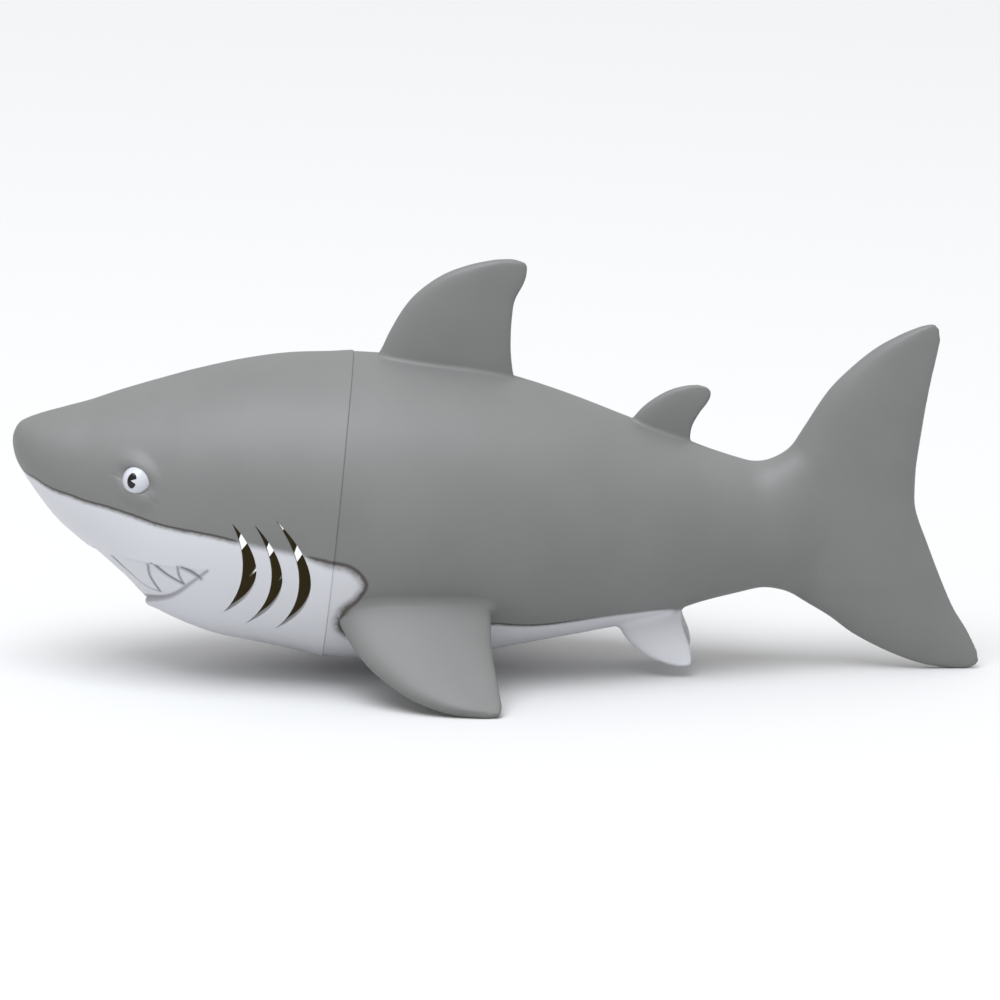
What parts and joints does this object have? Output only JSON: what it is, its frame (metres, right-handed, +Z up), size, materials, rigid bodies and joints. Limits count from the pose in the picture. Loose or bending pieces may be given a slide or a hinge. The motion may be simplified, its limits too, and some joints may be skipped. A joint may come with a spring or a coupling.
{
  "type": "hollow vinyl toy shark",
  "caption": "Hollow moulded shark with a lift-off round head, open gill slots and a sealed float body, standing on its pectoral fins and lower tail tip.",
  "frame": {"origin": "on the floor under the middle of the bounding box, in the plane of symmetry", "axes": "+X from the snout to the tail, +Y to the shark's own right flank seen from its tail towards its snout, +Z up"},
  "size_m": [0.4828, 0.2218, 0.2096],
  "materials": {
    "grey_vinyl": "matte rotational-moulded vinyl, grey over a sprayed white belly",
    "white_vinyl": "matte sprayed white vinyl",
    "eye_white": "gloss white with a printed black pupil",
    "rigid_ring": "moulded rigid plastic, satin",
    "seal_rubber": "moulded rubber"
  },
  "bodies": {
    "body": {"body_shell": "grey_vinyl", "dorsal_fin": "grey_vinyl", "rear_dorsal_fin": "grey_vinyl", "pectoral_fin_left": "grey_vinyl", "pectoral_fin_right": "grey_vinyl", "pelvic_fin_left": "white_vinyl", "pelvic_fin_right": "white_vinyl", "neck_ring": "rigid_ring", "bulkhead": "rigid_ring"},
    "seal": {"neck_seal": "seal_rubber"},
    "head": {"head_shell": "grey_vinyl", "eye_left": "eye_white", "eye_right": "eye_white", "head_sleeve": "rigid_ring"}
  },
  "joints": [
    {"name": "head_twist", "type": "hinge", "parent": "body", "child": "seal", "pos_m": [-0.07897, 0, 0.08463], "axis": [-0.9945, 0, 0.1045], "continuous": true},
    {"name": "head_pull", "type": "slide", "parent": "seal", "child": "head", "axis": [-0.9945, 0, 0.1045], "range_m": [0, 0.08]}
  ]
}
